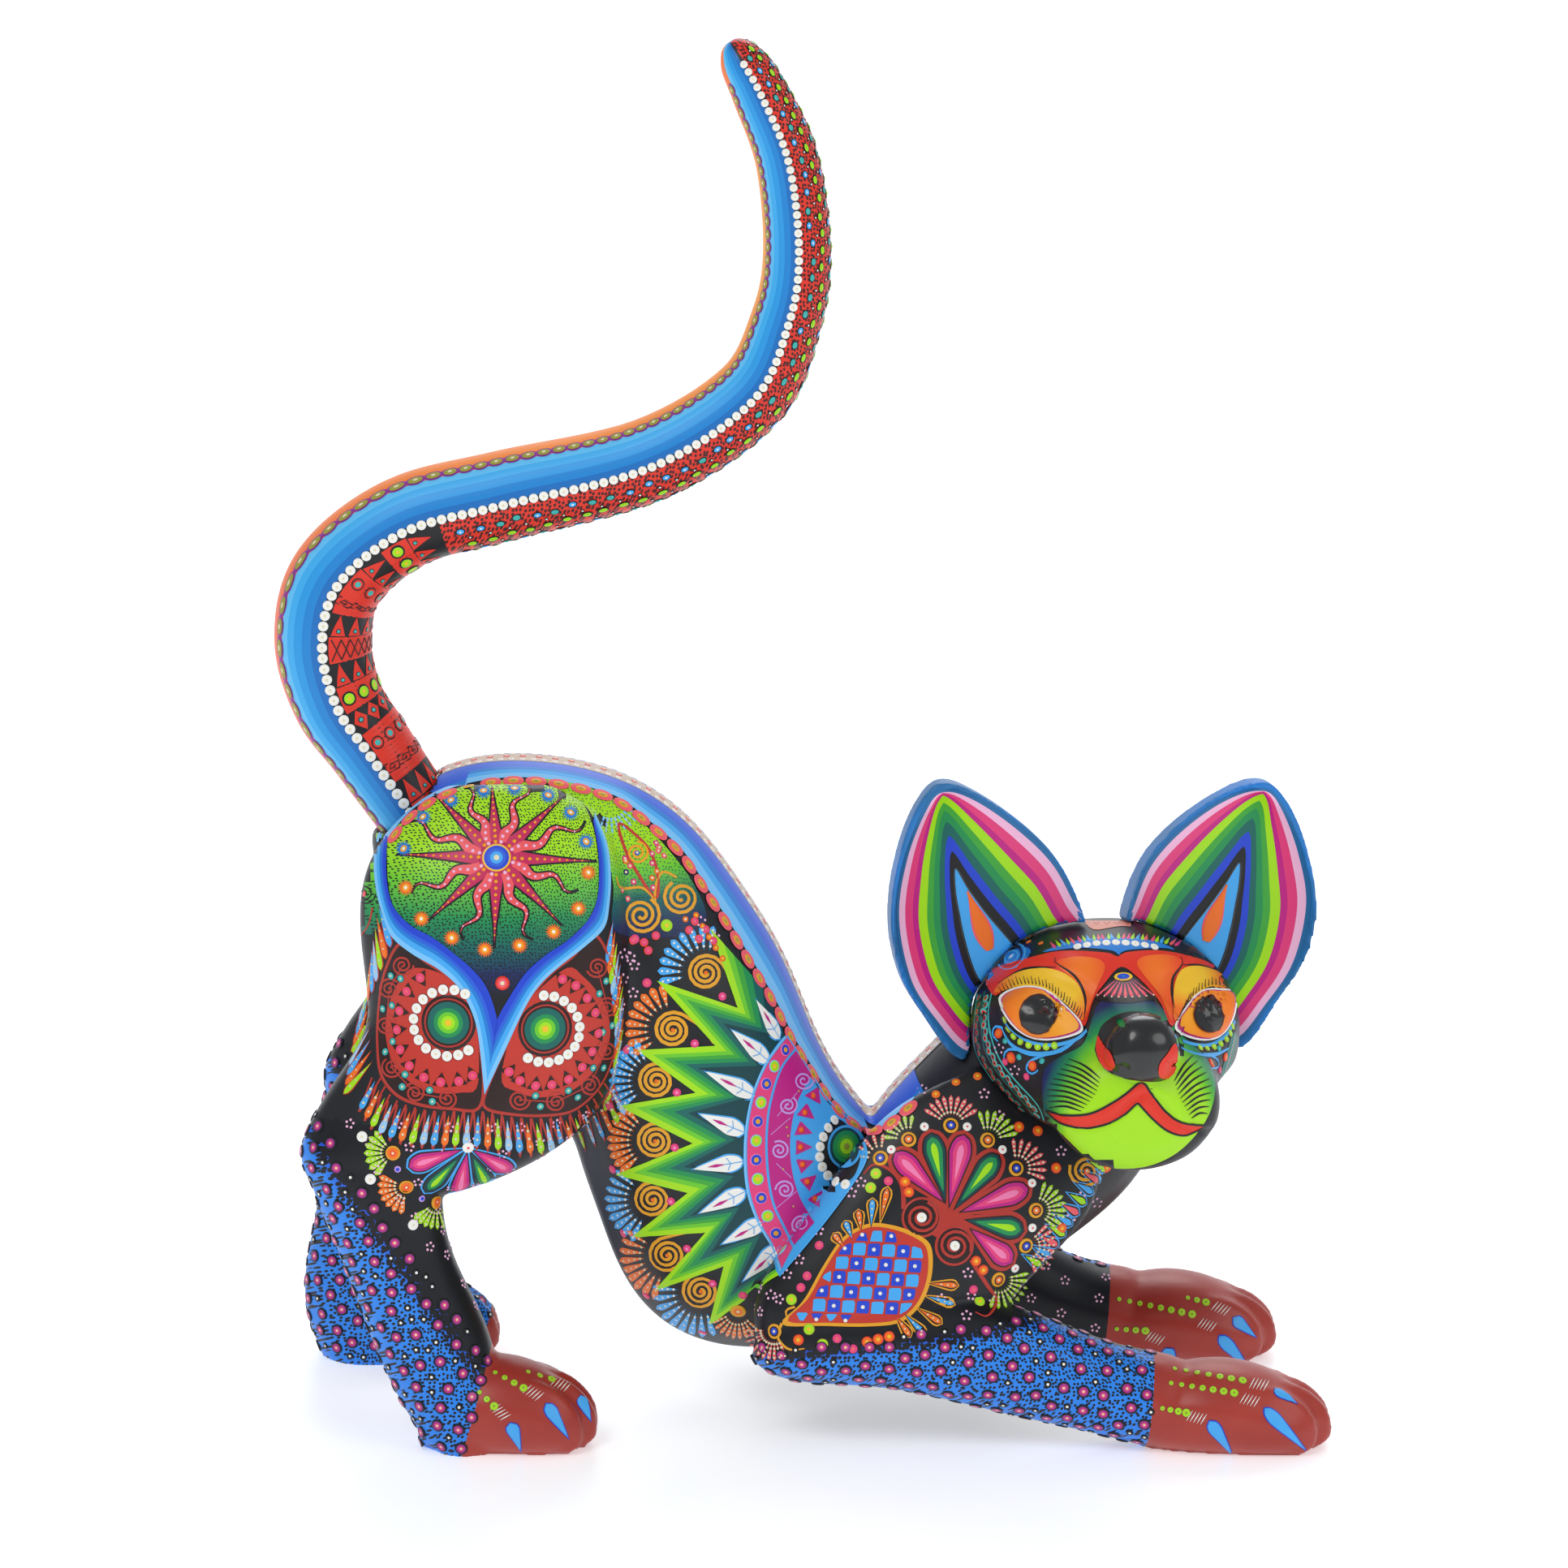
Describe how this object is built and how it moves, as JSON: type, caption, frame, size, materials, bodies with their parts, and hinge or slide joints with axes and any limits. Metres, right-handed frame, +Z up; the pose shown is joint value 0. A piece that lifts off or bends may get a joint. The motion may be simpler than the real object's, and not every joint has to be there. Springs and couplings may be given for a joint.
{
  "type": "carved painted wooden cat figure",
  "caption": "Hand-carved wooden cat in a stretching pose, covered in bright painted folk patterns, with a tall curving tail and large ears that pull out.",
  "frame": {"origin": "middle of the footprint's bounding box, at the ground the paws stand on", "axes": "+X from the rump towards the front paws, +Y to the cat's left, +Z up"},
  "size_m": [0.3064, 0.1314, 0.4064],
  "materials": {
    "painted_body": "satin acrylic paint on carved copal",
    "painted_head": "satin acrylic paint on carved copal",
    "painted_legs": "satin acrylic paint on carved copal",
    "painted_tail": "satin acrylic paint on carved copal",
    "painted_ears": "satin acrylic paint on carved copal",
    "bare_wood": "unpainted, sanded"
  },
  "bodies": {
    "carving": {"torso": "painted_body", "head": "painted_head", "hind_leg_right": "painted_legs", "hind_leg_left": "painted_legs", "foreleg_right": "painted_legs", "foreleg_left": "painted_legs", "neck_dowel": "bare_wood", "hip_dowel_right": "bare_wood", "hip_dowel_left": "bare_wood", "shoulder_dowel_right": "bare_wood", "shoulder_dowel_left": "bare_wood"},
    "tail_body": {"tail": "painted_tail", "tail_peg": "bare_wood"},
    "ear_right_body": {"ear_right": "painted_ears", "ear_peg_right": "bare_wood"},
    "ear_left_body": {"ear_left": "painted_ears", "ear_peg_left": "bare_wood"}
  },
  "joints": [
    {"name": "tail_pull", "type": "slide", "parent": "carving", "child": "tail_body", "axis": [-0.5584, 0, 0.8296], "range_m": [0, 0.045]},
    {"name": "ear_right_pull", "type": "slide", "parent": "carving", "child": "ear_right_body", "axis": [-0.6295, -0.111, 0.769], "range_m": [0, 0.03]},
    {"name": "ear_left_pull", "type": "slide", "parent": "carving", "child": "ear_left_body", "axis": [0.6295, 0.111, 0.769], "range_m": [0, 0.03]}
  ]
}
